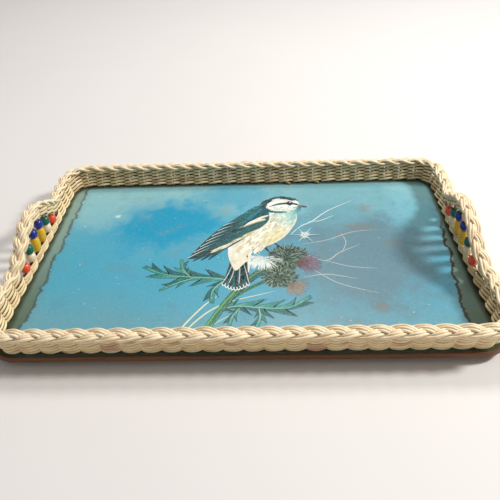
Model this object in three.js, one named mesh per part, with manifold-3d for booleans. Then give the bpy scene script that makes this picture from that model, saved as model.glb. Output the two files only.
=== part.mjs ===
// Cane gallery serving tray: a drilled wooden board with a printed sheet on it, a woven cane wall that
// rises into an arched, beaded handle at each end, a plaited border along its top and a cane foot below.
// Millimetres, +Z up, standing on z = 0. X runs from handle to handle and the origin is under the middle.
import * as THREE from 'three';
import { mergeVertices } from 'three/addons/utils/BufferGeometryUtils.js';
import Module from 'manifold-3d';

// board and sheet
const boardLength = 457;
const boardDepth = 298;
const boardThickness = 6;
const boardCornerRadius = 28;
const boardArris = 0.7;
const sheetThickness = 0.4;
const sheetMargin = 1.5;

// cane foot under the board
const footHeight = 6.2;
const footWidth = 6;
const footOutset = -0.6;

// woven wall on the stake line
const stakeInset = 8;
const stakeCount = 80;
const stakeDiameter = 3;
const wallThickness = 7.6;
const lowerWeaveHeight = 11;
const upperWeaveHeight = 8;

// the wall leans out by this much per mm of height, but not where it rises into a handle: the left
// handle stands upright and the right one leans in
const wallFlare = 0.228;
const handleLeanDegrees = { left: 0, right: 5 };
const flareStart = 32;
const flareEnd = 90;

// plaited border
const plaitWidth = 15;
const plaitHeight = 8.6;
const plaitOutsetOnArch = 2;

// handle arches and their beads
const archRise = 28.8;
const archHalfWidth = 77;
const handleStakes = 6;
const roundBead = { diameter: 10, height: 9.4 };
const ovalBead = { diameter: 10, height: 16.4 };
const beadFlatRadius = 2.4;
const beadBoreRadius = 1.85;
const beadGap = 0.25;
const seatGap = 0.45;

// fits
const stakeHoleRadius = 1.85;
const stakeEndDepth = 3;
const endGap = 0.3;

// outline of the solids
const cornerSteps = 6;
const archSteps = 16;
const stakeSides = 12;
const beadSides = 14;
const beadRings = 7;

const boardTop = footHeight + boardThickness;
const weaveFoot = boardTop + sheetThickness;
const archFoot = weaveFoot + lowerWeaveHeight;
const stakeX = boardLength / 2 - stakeInset;
const stakeY = boardDepth / 2 - stakeInset;
const stakeCornerRadius = boardCornerRadius - stakeInset;
const straightX = stakeX - stakeCornerRadius;
const straightY = stakeY - stakeCornerRadius;
const stakeRound = 4 * (straightX + straightY) + 2 * Math.PI * stakeCornerRadius;
const stakePitch = stakeRound / stakeCount;

const wasm = await Module();
wasm.setup();

const cane = new THREE.MeshStandardMaterial({ color: 0xd8c49c, roughness: 0.55, metalness: 0 });
const footCane = new THREE.MeshStandardMaterial({ color: 0xc9b288, roughness: 0.65, metalness: 0 });
const stakeCane = new THREE.MeshStandardMaterial({ color: 0xcdb78c, roughness: 0.6, metalness: 0 });
const wood = new THREE.MeshStandardMaterial({ color: 0x5a3a24, roughness: 0.6, metalness: 0 });
const print = new THREE.MeshStandardMaterial({ color: 0x6fa9b8, roughness: 0.35, metalness: 0 });
const beadPaint = {
  red: new THREE.MeshStandardMaterial({ color: 0xe23c28, roughness: 0.3, metalness: 0 }),
  green: new THREE.MeshStandardMaterial({ color: 0x0b6650, roughness: 0.3, metalness: 0 }),
  blue: new THREE.MeshStandardMaterial({ color: 0x16308f, roughness: 0.3, metalness: 0 }),
  yellow: new THREE.MeshStandardMaterial({ color: 0xe0b01c, roughness: 0.3, metalness: 0 }),
  natural: new THREE.MeshStandardMaterial({ color: 0xe6d3ab, roughness: 0.4, metalness: 0 }),
};

const smoothStep = (from, to, value) => {
  const t = Math.min(Math.max((value - from) / (to - from), 0), 1);
  return t * t * (3 - 2 * t);
};

// height of the arch above the lower weave, and its slope, at a place y along a short end
const archHeight = (y) => (Math.abs(y) < archHalfWidth
  ? archRise * (0.5 + 0.5 * Math.cos(Math.PI * y / archHalfWidth))
  : 0);
const archSlope = (y) => (Math.abs(y) < archHalfWidth
  ? -archRise * 0.5 * Math.PI / archHalfWidth * Math.sin(Math.PI * y / archHalfWidth)
  : 0);

const leanAngle = (side) => THREE.MathUtils.degToRad(handleLeanDegrees[side < 0 ? 'left' : 'right']);

// how the wall's lean changes along a short end, from the handle's to the rest of the wall's
function endFlare(side, y) {
  const handleFlare = -Math.tan(leanAngle(side));
  const share = smoothStep(flareStart, flareEnd, Math.abs(y));
  return handleFlare + (wallFlare - handleFlare) * share;
}

// a place on the stake line: plan position, outward normal, and how far the wall leans out per mm of height
function station(x, y, normalX, normalY) {
  const onEnd = Math.abs(normalX) === 1 && normalY === 0;
  return {
    x,
    y,
    normalX,
    normalY,
    rise: onEnd ? archHeight(y) : 0,
    slope: onEnd ? archSlope(y) * normalX : 0,
    flare: onEnd ? endFlare(normalX, y) : wallFlare,
  };
}

// stations once round the stake line, counter-clockwise from above
function stationsRound() {
  const stops = [];
  const addEnd = (side) => {
    for (let i = 0; i <= archSteps; i += 1) {
      const y = side * archHalfWidth * (2 * i / archSteps - 1);
      stops.push(station(side * stakeX, y, side, 0));
    }
    stops.push(station(side * stakeX, side * flareEnd, side, 0));
  };
  const addCorner = (sideX, sideY, startAngle) => {
    for (let i = 0; i <= cornerSteps; i += 1) {
      const angle = startAngle + Math.PI / 2 * i / cornerSteps;
      const normalX = Math.round(Math.cos(angle) * 1e9) / 1e9;
      const normalY = Math.round(Math.sin(angle) * 1e9) / 1e9;
      const x = sideX * straightX + normalX * stakeCornerRadius;
      const y = sideY * straightY + normalY * stakeCornerRadius;
      stops.push(station(x, y, normalX, normalY));
    }
  };
  stops.push(station(stakeX, -flareEnd, 1, 0));
  addEnd(1);
  addCorner(1, 1, 0);
  addCorner(-1, 1, Math.PI / 2);
  stops.push(station(-stakeX, flareEnd, -1, 0));
  addEnd(-1);
  addCorner(-1, -1, Math.PI);
  addCorner(1, -1, Math.PI * 1.5);
  return stops;
}

const stations = stationsRound();

// a ring that follows the stations: a torus whose tube takes the section's corners, given as
// [outward, upward] counter-clockwise from the outer side, standing on baseZ
function ringGeometry(section, baseZ, { arched = false, flared = true, archOutset = 0 } = {}) {
  const rounds = stations.length;
  const geometry = new THREE.TorusGeometry(2, 1, section.length, rounds);
  const { position, uv } = geometry.attributes;
  for (let i = 0; i < position.count; i += 1) {
    const stop = stations[Math.round(uv.getX(i) * rounds) % rounds];
    const [out, up] = section[Math.round(uv.getY(i) * section.length) % section.length];
    const angle = arched ? Math.atan(stop.slope) : 0;
    const height = baseZ + (arched ? stop.rise : 0) + up * Math.cos(angle);
    const along = -up * Math.sin(angle);
    const lean = flared ? stop.flare * (height - weaveFoot) : 0;
    const outward = out + lean + archOutset * stop.rise / archRise;
    const x = stop.x + stop.normalX * outward - stop.normalY * along;
    const y = stop.y + stop.normalY * outward + stop.normalX * along;
    position.setXYZ(i, x, y, height);
  }
  return geometry;
}

function bareGeometry(geometry) {
  const bare = geometry.clone();
  bare.deleteAttribute('normal');
  bare.deleteAttribute('uv');
  return mergeVertices(bare, 1e-4);
}

function toSolid(geometry) {
  const bare = bareGeometry(geometry);
  return new wasm.Manifold(new wasm.Mesh({
    numProp: 3,
    vertProperties: new Float32Array(bare.attributes.position.array),
    triVerts: new Uint32Array(bare.index.array),
  }));
}

function fromSolid(solid) {
  const mesh = solid.getMesh();
  const geometry = new THREE.BufferGeometry();
  geometry.setAttribute('position', new THREE.BufferAttribute(mesh.vertProperties, 3));
  geometry.setIndex(new THREE.BufferAttribute(mesh.triVerts, 1));
  geometry.computeVertexNormals();
  return geometry;
}

// an upright round rod about a handle's own axis, from lowZ to highZ
function rodGeometry(y, radius, lowZ, highZ) {
  const rod = new THREE.CylinderGeometry(radius, radius, highZ - lowZ, stakeSides);
  rod.rotateX(Math.PI / 2);
  rod.translate(0, y, (lowZ + highZ) / 2);
  return rod;
}

// stands a handle, made upright about x = 0, in its place: it leans from where its stakes enter the weave
function placeHandle(object, side) {
  const angle = -side * leanAngle(side);
  const reach = new THREE.Vector3(0, 0, weaveFoot).applyAxisAngle(new THREE.Vector3(0, 1, 0), angle);
  object.rotation.y = angle;
  object.position.set(side * stakeX - reach.x, 0, weaveFoot - reach.z);
  object.updateMatrix();
  return object;
}

// the handle stakes stand in a row on the stake line, six at each end, counted from the front
function handleStakePlaces() {
  const places = [];
  for (const side of [-1, 1]) {
    for (let number = 1; number <= handleStakes; number += 1) {
      places.push({ side, number, y: (number - (handleStakes + 1) / 2) * stakePitch });
    }
  }
  return places;
}

const stakePlaces = handleStakePlaces();
const stakeFootZ = footHeight - stakeEndDepth;

// top of a stake: a little way up inside the plait, which is thicker upright where the arch slopes
function stakeTopZ(y) {
  const angle = Math.atan(archSlope(y));
  return archFoot + archHeight(y) + (upperWeaveHeight + stakeEndDepth) / Math.cos(angle);
}

// cuts a round hole for each handle stake between two heights
function drilled(geometry, lowZ, highZ) {
  return stakePlaces.reduce((solid, { side, y }) => {
    const high = typeof highZ === 'function' ? highZ(y) : highZ;
    const rod = rodGeometry(y, stakeHoleRadius, lowZ, high);
    rod.applyMatrix4(placeHandle(new THREE.Object3D(), side).matrix);
    return solid.subtract(toSolid(rod));
  }, toSolid(geometry));
}

function roundedOutline(length, depth, radius) {
  const x = length / 2;
  const y = depth / 2;
  const outline = new THREE.Shape();
  outline.moveTo(-x + radius, -y);
  outline.lineTo(x - radius, -y);
  outline.absarc(x - radius, -y + radius, radius, -Math.PI / 2, 0, false);
  outline.lineTo(x, y - radius);
  outline.absarc(x - radius, y - radius, radius, 0, Math.PI / 2, false);
  outline.lineTo(-x + radius, y);
  outline.absarc(-x + radius, y - radius, radius, Math.PI / 2, Math.PI, false);
  outline.lineTo(-x, -y + radius);
  outline.absarc(-x + radius, -y + radius, radius, Math.PI, Math.PI * 1.5, false);
  return outline;
}

function boardGeometry() {
  const trim = 2 * boardArris;
  const outline = roundedOutline(boardLength - trim, boardDepth - trim, boardCornerRadius - boardArris);
  const board = new THREE.ExtrudeGeometry(outline, {
    depth: boardThickness - trim,
    bevelEnabled: true,
    bevelThickness: boardArris,
    bevelSize: boardArris,
    bevelSegments: 1,
    curveSegments: 8,
  });
  board.translate(0, 0, footHeight + boardArris);
  return fromSolid(drilled(board, footHeight - 1, boardTop + 1));
}

function sheetGeometry() {
  const trim = 2 * sheetMargin;
  const outline = roundedOutline(boardLength - trim, boardDepth - trim, boardCornerRadius - sheetMargin);
  const sheet = new THREE.ExtrudeGeometry(outline, {
    depth: sheetThickness,
    bevelEnabled: false,
    curveSegments: 8,
  });
  sheet.translate(0, 0, boardTop);
  return fromSolid(drilled(sheet, boardTop - 1, weaveFoot + 1));
}

// a rod laid round under the board, flat below where it rests, with blind holes for the stake ends
function footGeometry() {
  const half = footWidth / 2;
  const low = footHeight * 0.3;
  const high = footHeight * 0.75;
  const section = [[half, high], [half * 0.6, footHeight], [-half * 0.6, footHeight], [-half, high],
    [-half, low], [-half * 0.55, 0], [half * 0.55, 0], [half, low]];
  const shifted = section.map(([out, up]) => [out + footOutset, up]);
  const ring = ringGeometry(shifted, 0, { flared: false });
  return fromSolid(drilled(ring, stakeFootZ, footHeight + 1));
}

function weaveSection(height) {
  const half = wallThickness / 2;
  return [[half, 0], [half, height], [-half, height], [-half, 0]];
}

function lowerWeaveGeometry() {
  const ring = ringGeometry(weaveSection(lowerWeaveHeight), weaveFoot);
  return fromSolid(drilled(ring, weaveFoot - 1, archFoot + 1));
}

function upperWeaveGeometry() {
  const ring = ringGeometry(weaveSection(upperWeaveHeight), archFoot, { arched: true });
  return fromSolid(drilled(ring, archFoot - 1, (y) => stakeTopZ(y) + endGap));
}

// the plait sits on the upper weave and follows its arches
function plaitGeometry() {
  const half = plaitWidth / 2;
  const foot = upperWeaveHeight;
  const top = foot + plaitHeight;
  const section = [[half, foot + plaitHeight * 0.35], [half * 0.9, foot + plaitHeight * 0.7],
    [half * 0.5, top], [-half * 0.5, top], [-half * 0.9, foot + plaitHeight * 0.7],
    [-half, foot + plaitHeight * 0.35], [-wallThickness / 2, foot], [wallThickness / 2, foot]];
  const ring = ringGeometry(section, archFoot, { arched: true, archOutset: plaitOutsetOnArch });
  return fromSolid(drilled(ring, archFoot - 1, (y) => stakeTopZ(y) + endGap));
}

// a turned bead: its bore, a narrow flat at each end and an elliptical side
function beadGeometry({ diameter, height }) {
  const radius = diameter / 2;
  const endAngle = Math.acos(beadFlatRadius / radius);
  const halfAxis = height / 2 / Math.sin(endAngle);
  const profile = [new THREE.Vector2(beadBoreRadius, -height / 2)];
  for (let i = 0; i < beadRings; i += 1) {
    const angle = -endAngle + 2 * endAngle * i / (beadRings - 1);
    profile.push(new THREE.Vector2(radius * Math.cos(angle), halfAxis * Math.sin(angle)));
  }
  profile.push(new THREE.Vector2(beadBoreRadius, height / 2));
  profile.push(profile[0].clone());
  const bead = new THREE.LatheGeometry(profile, beadSides);
  bead.rotateX(Math.PI / 2);
  return bead;
}

// beads on each stake from the front, lowest first
const beadStacks = [
  ['red'],
  ['natural', 'green'],
  ['yellow', 'blue'],
  ['yellow', 'blue'],
  ['natural', 'green'],
  ['red'],
];

const tray = new THREE.Group();

function addPiece(parent, name, geometry, material) {
  const mesh = new THREE.Mesh(geometry, material);
  mesh.name = name;
  parent.add(mesh);
  return mesh;
}

function addHandle(side) {
  const sideName = side < 0 ? 'left' : 'right';
  const handle = placeHandle(new THREE.Group(), side);
  for (const place of stakePlaces.filter((entry) => entry.side === side)) {
    const rod = rodGeometry(0, stakeDiameter / 2, stakeFootZ + endGap, stakeTopZ(place.y));
    const stake = addPiece(handle, `stake_${sideName}_${place.number}`, rod, stakeCane);
    stake.position.set(0, place.y, 0);
    let seat = archFoot + seatGap;
    for (const colour of beadStacks[place.number - 1]) {
      const shape = colour === 'yellow' ? ovalBead : roundBead;
      const name = `bead_${sideName}_${place.number}_${colour}`;
      const bead = addPiece(handle, name, beadGeometry(shape), beadPaint[colour]);
      bead.position.set(0, place.y, seat + shape.height / 2);
      seat += shape.height + beadGap;
    }
  }
  tray.add(handle);
}

addPiece(tray, 'base_board', boardGeometry(), wood);
addPiece(tray, 'picture_sheet', sheetGeometry(), print);
addPiece(tray, 'foot_border', footGeometry(), footCane);
addPiece(tray, 'lower_weave', lowerWeaveGeometry(), cane);
addPiece(tray, 'upper_weave', upperWeaveGeometry(), cane);
addPiece(tray, 'plaited_border', plaitGeometry(), cane);
addHandle(-1);
addHandle(1);

export default tray;
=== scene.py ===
import math
import random
import bpy
import bmesh
import numpy as np
from mathutils import Matrix, Vector


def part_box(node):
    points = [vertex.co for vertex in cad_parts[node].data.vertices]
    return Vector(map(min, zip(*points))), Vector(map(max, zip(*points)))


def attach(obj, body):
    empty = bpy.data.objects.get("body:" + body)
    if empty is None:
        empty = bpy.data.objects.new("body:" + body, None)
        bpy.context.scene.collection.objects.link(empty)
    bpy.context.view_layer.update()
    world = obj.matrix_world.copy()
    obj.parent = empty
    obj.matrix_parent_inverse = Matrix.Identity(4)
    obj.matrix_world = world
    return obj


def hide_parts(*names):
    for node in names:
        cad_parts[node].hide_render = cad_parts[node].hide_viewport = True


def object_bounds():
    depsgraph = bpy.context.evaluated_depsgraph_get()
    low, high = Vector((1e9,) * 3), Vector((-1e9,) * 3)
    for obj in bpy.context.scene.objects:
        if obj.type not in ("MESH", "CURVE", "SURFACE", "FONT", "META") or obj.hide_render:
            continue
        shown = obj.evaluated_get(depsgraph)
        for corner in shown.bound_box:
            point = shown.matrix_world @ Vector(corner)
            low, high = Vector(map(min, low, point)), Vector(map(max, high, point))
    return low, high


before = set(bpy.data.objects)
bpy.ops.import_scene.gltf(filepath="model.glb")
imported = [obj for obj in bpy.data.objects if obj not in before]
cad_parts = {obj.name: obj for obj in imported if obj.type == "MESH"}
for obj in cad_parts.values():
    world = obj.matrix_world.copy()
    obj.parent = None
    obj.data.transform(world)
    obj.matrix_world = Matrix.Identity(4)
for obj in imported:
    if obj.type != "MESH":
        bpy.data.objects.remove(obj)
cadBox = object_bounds()
mm = 0.001
random.seed(11)


# camera, floor and lights: places in millimetres, angles in degrees, powers in watts
studio = {
    "cameraAt": (25.29, -483.99, 374.59), "tiltDown": 36.73, "turnLeft": 2.78, "roll": -2.68, "lens": 41.15,
    "floorSize": 9000, "floorTone": (0.80, 0.775, 0.755),
    "sideLight": {"at": (1500, 120, 1290), "size": 370, "power": 32, "tint": (1.0, 0.985, 0.96)},
    "backLight": {"at": (150, 1150, 1900), "size": 700, "power": 20, "tint": (1.0, 0.975, 0.94)},
    "fill": 0.32, "fillTint": (0.98, 0.96, 0.94),
}


def addObject(name, data):
    added = bpy.data.objects.new(name, data)
    bpy.context.collection.objects.link(added)
    return added


def addLight(name, light):
    data = bpy.data.lights.new(name, "AREA")
    data.shape = "DISK"
    data.size = light["size"] * mm
    data.energy = light["power"]
    data.color = light["tint"]
    lamp = addObject(name, data)
    lamp.location = Vector(light["at"]) * mm
    lamp.rotation_euler = (-lamp.location).to_track_quat("-Z", "Y").to_euler()   # aimed at the tray's middle


def buildStudio():
    scene = bpy.context.scene
    data = bpy.data.cameras.new("trayCamera")
    data.lens = studio["lens"]
    data.sensor_width = 36
    data.clip_start = 0.01
    data.clip_end = 50
    camera = addObject("trayCamera", data)
    camera.matrix_world = (Matrix.Translation(Vector(studio["cameraAt"]) * mm)
                           @ Matrix.Rotation(math.radians(studio["turnLeft"]), 4, "Z")
                           @ Matrix.Rotation(math.radians(90 - studio["tiltDown"]), 4, "X")
                           @ Matrix.Rotation(math.radians(studio["roll"]), 4, "Z"))
    scene.camera = camera
    scene.view_settings.view_transform = "Standard"
    addLight("sideLight", studio["sideLight"])
    addLight("backLight", studio["backLight"])
    world = bpy.data.worlds.new("studioFill")
    world.use_nodes = True
    backdrop = world.node_tree.nodes["Background"]
    backdrop.inputs["Color"].default_value = (*studio["fillTint"], 1)
    backdrop.inputs["Strength"].default_value = studio["fill"]
    scene.world = world
    bpy.ops.object.select_all(action="DESELECT")
    bpy.ops.mesh.primitive_plane_add(size=studio["floorSize"] * mm, location=(0, 0, cadBox[0][2]))
    floor = bpy.context.object
    floor.name = "floor"
    floor.data.materials.append(floorPaint())


# short ways to wire up a material
def startFinish(name):
    made = bpy.data.materials.new(name)
    made.use_nodes = True
    tree = made.node_tree
    return made, tree, tree.nodes["Principled BSDF"]


def feed(tree, socket, value):
    if isinstance(value, bpy.types.NodeSocket):
        tree.links.new(value, socket)
    elif isinstance(value, (tuple, list)) and len(value) == 3 and socket.type == "RGBA":
        socket.default_value = (*value, 1)
    else:
        socket.default_value = value


def sums(tree, operation, first, second=0.0, third=None):
    node = tree.nodes.new("ShaderNodeMath")
    node.operation = operation
    feed(tree, node.inputs[0], first)
    feed(tree, node.inputs[1], second)
    if third is not None:
        feed(tree, node.inputs[2], third)
    return node.outputs[0]


def times(tree, first, second):
    return sums(tree, "MULTIPLY", first, second)


def less(tree, first, second):
    return sums(tree, "SUBTRACT", first, second)


def wobble(tree, value, noise, reach):
    return sums(tree, "MULTIPLY_ADD", less(tree, noise, 0.5), reach, value)


def distance(tree, across, up):
    return sums(tree, "SQRT", sums(tree, "ADD", times(tree, across, across), times(tree, up, up)))


def blendColour(tree, amount, under, over):
    node = tree.nodes.new("ShaderNodeMix")
    node.data_type = "RGBA"
    node.clamp_factor = True
    feed(tree, node.inputs[0], amount)
    feed(tree, node.inputs[6], under)
    feed(tree, node.inputs[7], over)
    return node.outputs[2]


def stain(tree, mask, amount, under, over):
    # over laid on under where mask is 1, as strongly as amount says
    return blendColour(tree, times(tree, mask, amount), under, over)


def place(tree, source, scale=(1, 1, 1), shift=(0, 0, 0)):
    node = tree.nodes.new("ShaderNodeMapping")
    node.inputs["Scale"].default_value = scale
    node.inputs["Location"].default_value = shift
    tree.links.new(source, node.inputs["Vector"])
    return node.outputs["Vector"]


def mottle(tree, source, scale, detail=3.0, rough=0.55, warp=0.0):
    node = tree.nodes.new("ShaderNodeTexNoise")
    node.inputs["Scale"].default_value = scale
    node.inputs["Detail"].default_value = detail
    node.inputs["Roughness"].default_value = rough
    node.inputs["Distortion"].default_value = warp
    tree.links.new(source, node.inputs["Vector"])
    return node.outputs["Fac"]


def steps(tree, value, low, high, smooth=True):
    node = tree.nodes.new("ShaderNodeMapRange")
    node.interpolation_type = "SMOOTHSTEP" if smooth else "LINEAR"
    node.inputs["From Min"].default_value = low
    node.inputs["From Max"].default_value = high
    tree.links.new(value, node.inputs["Value"])
    return node.outputs["Result"]


def ramp(tree, value, stops):
    node = tree.nodes.new("ShaderNodeValToRGB")
    band = node.color_ramp
    band.elements[0].position, band.elements[0].color = stops[0][0], (*stops[0][1], 1)
    band.elements[1].position, band.elements[1].color = stops[-1][0], (*stops[-1][1], 1)
    for at, colour in stops[1:-1]:
        band.elements.new(at).color = (*colour, 1)
    tree.links.new(value, node.inputs["Fac"])
    return node.outputs["Color"]


def objectPlace(tree):
    return tree.nodes.new("ShaderNodeTexCoord").outputs["Object"]


def apart(tree, source):
    split = tree.nodes.new("ShaderNodeSeparateXYZ")
    tree.links.new(source, split.inputs[0])
    return split.outputs["X"], split.outputs["Y"], split.outputs["Z"]


def roughen(tree, shader, height, strength, distance):
    node = tree.nodes.new("ShaderNodeBump")
    node.inputs["Strength"].default_value = strength
    node.inputs["Distance"].default_value = distance
    tree.links.new(height, node.inputs["Height"])
    tree.links.new(node.outputs["Normal"], shader.inputs["Normal"])


def floorPaint():
    made, tree, shader = startFinish("floorPaint")
    tone = mottle(tree, objectPlace(tree), 2.2, 4)
    base = studio["floorTone"]
    worn = tuple(c * 0.97 for c in base)
    tree.links.new(ramp(tree, tone, [(0.3, worn), (0.7, base)]), shader.inputs["Base Color"])
    shader.inputs["Roughness"].default_value = 0.75
    return made


# pale, middle and buried straw (the buried colour is painted shade), the browner lengths mixed in with them, and how
# far down the painted shade between canes begins and how strong it is
caneTones = {
    "plait": {"pale": (0.96, 0.82, 0.58), "straw": (0.80, 0.62, 0.38), "brown": (0.62, 0.38, 0.24), "brownFrom": 0.60,
              "deep": (0.15, 0.085, 0.033), "darkFrom": 0.16, "darkTo": 0.50, "creviceShade": 0.85},
    "weave": {"pale": (0.98, 0.80, 0.48), "straw": (0.86, 0.63, 0.34), "brown": (0.50, 0.23, 0.13), "brownFrom": 0.54,
              "deep": (0.095, 0.047, 0.013), "darkFrom": 0.22, "darkTo": 0.63, "creviceShade": 0.97},
    "foot": {"pale": (0.62, 0.46, 0.26), "straw": (0.44, 0.30, 0.15), "brown": (0.33, 0.17, 0.08), "brownFrom": 0.58},
    "stake": {"pale": (0.40, 0.28, 0.14), "straw": (0.28, 0.18, 0.08), "brown": (0.22, 0.11, 0.05), "brownFrom": 0.62},
}


def caneFinish(name, tones, followsCane=True):
    made, tree, shader = startFinish(name)
    source = objectPlace(tree)
    if followsCane:   # the cane attribute holds (length along in metres, how open it lies, its own tone)
        cane = tree.nodes.new("ShaderNodeAttribute")
        cane.attribute_name = "cane"
        lengthwise = cane.outputs["Vector"]
        fibre = mottle(tree, place(tree, lengthwise, (90, 0, 31)), 1, 3, 0.6)
        patch = mottle(tree, place(tree, lengthwise, (22, 0, 47)), 1, 2, 0.5)
    else:
        fibre = mottle(tree, place(tree, source, (900, 900, 60)), 1, 3, 0.6)
        patch = mottle(tree, source, 60, 2)
    dust = mottle(tree, source, 900, 2, 0.6)
    soft = ramp(tree, fibre, [(0.32, tones["straw"]), (0.62, tones["pale"])])
    browner = steps(tree, patch, tones["brownFrom"], tones["brownFrom"] + 0.12)
    mixed = stain(tree, browner, 0.62, soft, tones["brown"])
    dustAndShade = stain(tree, steps(tree, dust, 0.58, 0.80), 0.35, mixed, tones["brown"])
    if "deep" in tones:   # painted shade, darkening each cane where it lies under another in the weave's crevices
        shadedCrevice = steps(tree, apart(tree, lengthwise)[1], tones["darkTo"], tones["darkFrom"])
        dustAndShade = stain(tree, shadedCrevice, tones["creviceShade"], dustAndShade, tones["deep"])
    tree.links.new(dustAndShade, shader.inputs["Base Color"])
    tree.links.new(steps(tree, fibre, -0.6, 1.9, False), shader.inputs["Roughness"])
    roughen(tree, shader, fibre, 0.25, 0.0003)
    return made


beadPaint = {
    "red": (0.95, 0.085, 0.018), "green": (0.0, 0.13, 0.085), "blue": (0.006, 0.018, 0.28),
    "yellow": (0.86, 0.50, 0.005), "natural": (0.98, 0.80, 0.52),
}


def beadFinish(name, colour):
    made, tree, shader = startFinish("bead" + name.capitalize())
    source = objectPlace(tree)
    wear = mottle(tree, source, 420, 4, 0.6)
    grain = mottle(tree, place(tree, source, (1500, 1500, 160)), 1, 3)
    darker, rubbed = tuple(c * 0.55 for c in colour), tuple(min(1, c * 0.6 + 0.22) for c in colour)
    toned = stain(tree, steps(tree, grain, 0.40, 0.75), 0.35 if name == "natural" else 0.12, colour, darker)
    worn = stain(tree, steps(tree, wear, 0.66, 0.78), 0.30, toned, rubbed)
    tree.links.new(worn, shader.inputs["Base Color"])
    tree.links.new(steps(tree, wear, -1.2, 3.2, False), shader.inputs["Roughness"])
    shader.inputs["Coat Weight"].default_value = 0.25 if name == "natural" else 0.55
    shader.inputs["Coat Roughness"].default_value = 0.12
    return made


boardTones = {
    "edge": (0.165, 0.064, 0.020), "edgeDark": (0.060, 0.024, 0.009), "edgeWorn": (0.32, 0.16, 0.065),
    "under": (0.30, 0.19, 0.10), "underDark": (0.17, 0.098, 0.05),
}


def boardWood():
    made, tree, shader = startFinish("boardWood")
    source = objectPlace(tree)
    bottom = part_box("base_board")[0][2]
    streak = mottle(tree, place(tree, source, (26, 26, 900)), 1, 5, 0.6)
    plies = mottle(tree, place(tree, source, (5, 5, 1300)), 1, 1)
    edge = ramp(tree, streak, [(0.30, boardTones["edgeDark"]), (0.50, boardTones["edge"]), (0.72, boardTones["edge"]),
                               (0.80, boardTones["edgeWorn"])])
    edge = stain(tree, steps(tree, plies, 0.45, 0.62), 0.35, edge, boardTones["edgeDark"])
    grain = mottle(tree, place(tree, source, (12, 260, 12)), 1, 5, 0.62, 0.4)
    under = ramp(tree, grain, [(0.32, boardTones["underDark"]), (0.66, boardTones["under"])])
    isUnder = steps(tree, apart(tree, source)[2], bottom + 0.0004, bottom + 0.0001)
    tree.links.new(blendColour(tree, isUnder, edge, under), shader.inputs["Base Color"])
    shader.inputs["Roughness"].default_value = 0.48
    roughen(tree, shader, streak, 0.3, 0.0003)
    return made


# the line that the stakes stand on and the shape woven round them, in millimetres
wall = {
    "halfLength": 220.5, "halfDepth": 141.0, "cornerRadius": 20.0, "stakes": 80,
    "foot": 12.6, "archFoot": 23.6, "archRise": 28.8, "archHalfWidth": 77.0,
    "flare": 0.228, "flareStart": 32.0, "flareEnd": 90.0,
    "handleLean": {"left": 0.0, "right": 5.0},
}
endFacing = 0.9999   # a wall direction this near to x is on a straight end, not on a corner
straightX = wall["halfLength"] - wall["cornerRadius"]
straightY = wall["halfDepth"] - wall["cornerRadius"]
cornerRun = math.pi * wall["cornerRadius"] / 2
perimeter = 4 * (straightX + straightY + cornerRun)
stakePitch = perimeter / wall["stakes"]


def stakeLine(run):
    # place and outward direction at a distance along the line, anticlockwise from the middle of the right end
    run = np.mod(run, perimeter)
    longSide, shortSide = [2 * straightX, cornerRun], [2 * straightY, cornerRun]
    runs = [straightY, cornerRun] + longSide + shortSide + longSide + [straightY]
    starts = np.concatenate([[0], np.cumsum(runs)[:-1]])   # 0, 4 and 8 are on the ends, 2 and 6 on the long sides
    piece = np.clip(np.searchsorted(np.cumsum(runs), run, side="right"), 0, 8)
    part = run - starts[piece]
    x, y, nx, ny = (np.zeros_like(run) for _ in range(4))
    for index in range(9):
        here = piece == index
        t = part[here]
        if index % 2:   # a corner
            cx = straightX if index in (1, 7) else -straightX
            cy = straightY if index in (1, 3) else -straightY
            angle = (index - 1) / 2 * math.pi / 2 + t / wall["cornerRadius"]
            nx[here], ny[here] = np.cos(angle), np.sin(angle)
            x[here], y[here] = cx + wall["cornerRadius"] * nx[here], cy + wall["cornerRadius"] * ny[here]
        elif index in (0, 4, 8):
            side = -1 if index == 4 else 1
            first = {0: 0.0, 4: straightY, 8: -straightY}[index]
            x[here], y[here], nx[here] = side * wall["halfLength"], first + side * t, side
        else:
            side = 1 if index == 2 else -1
            x[here], y[here], ny[here] = side * (straightX - t), side * wall["halfDepth"], side
    return x, y, nx, ny


def wallPoint(run, up, out, base, arched=True, archOut=0.0):
    # a point on the wall: up the wall from its base line, out of its face, and over the arch of a handle
    x, y, nx, ny = stakeLine(run)
    onEnd = np.abs(nx) > endFacing
    inArch = onEnd & (np.abs(y) < wall["archHalfWidth"]) & arched
    turn = np.pi * y / wall["archHalfWidth"]
    rise = np.where(inArch, wall["archRise"] * (0.5 + 0.5 * np.cos(turn)), 0)
    slope = np.where(inArch, -0.5 * wall["archRise"] * np.pi / wall["archHalfWidth"] * np.sin(turn) * nx, 0)
    angle = np.arctan(slope)
    blend = np.clip((np.abs(y) - wall["flareStart"]) / (wall["flareEnd"] - wall["flareStart"]), 0, 1)
    blend = blend * blend * (3 - 2 * blend)
    right, left = (-math.tan(math.radians(wall["handleLean"][side])) for side in ("right", "left"))
    lean = np.where(x > 0, right, left)
    flare = np.where(onEnd, lean + (wall["flare"] - lean) * blend, wall["flare"])
    height = base + rise + up * np.cos(angle)
    along = -up * np.sin(angle)
    outward = out + flare * (height - wall["foot"]) + archOut * rise / wall["archRise"]
    return np.stack([x + nx * outward - ny * along, y + ny * outward + nx * along, height], axis=1)


def drift(count, size, waves, seed):
    # a smooth closed wander, for canes that never lie quite true
    maker = np.random.default_rng(seed)
    at = np.arange(count) / count * 2 * np.pi
    total = np.zeros(count)
    for wave in waves:
        total += np.sin(at * wave + maker.uniform(0, 6.28)) * maker.uniform(0.5, 1)
    return total * size / max(1, len(waves)) ** 0.5


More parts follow.
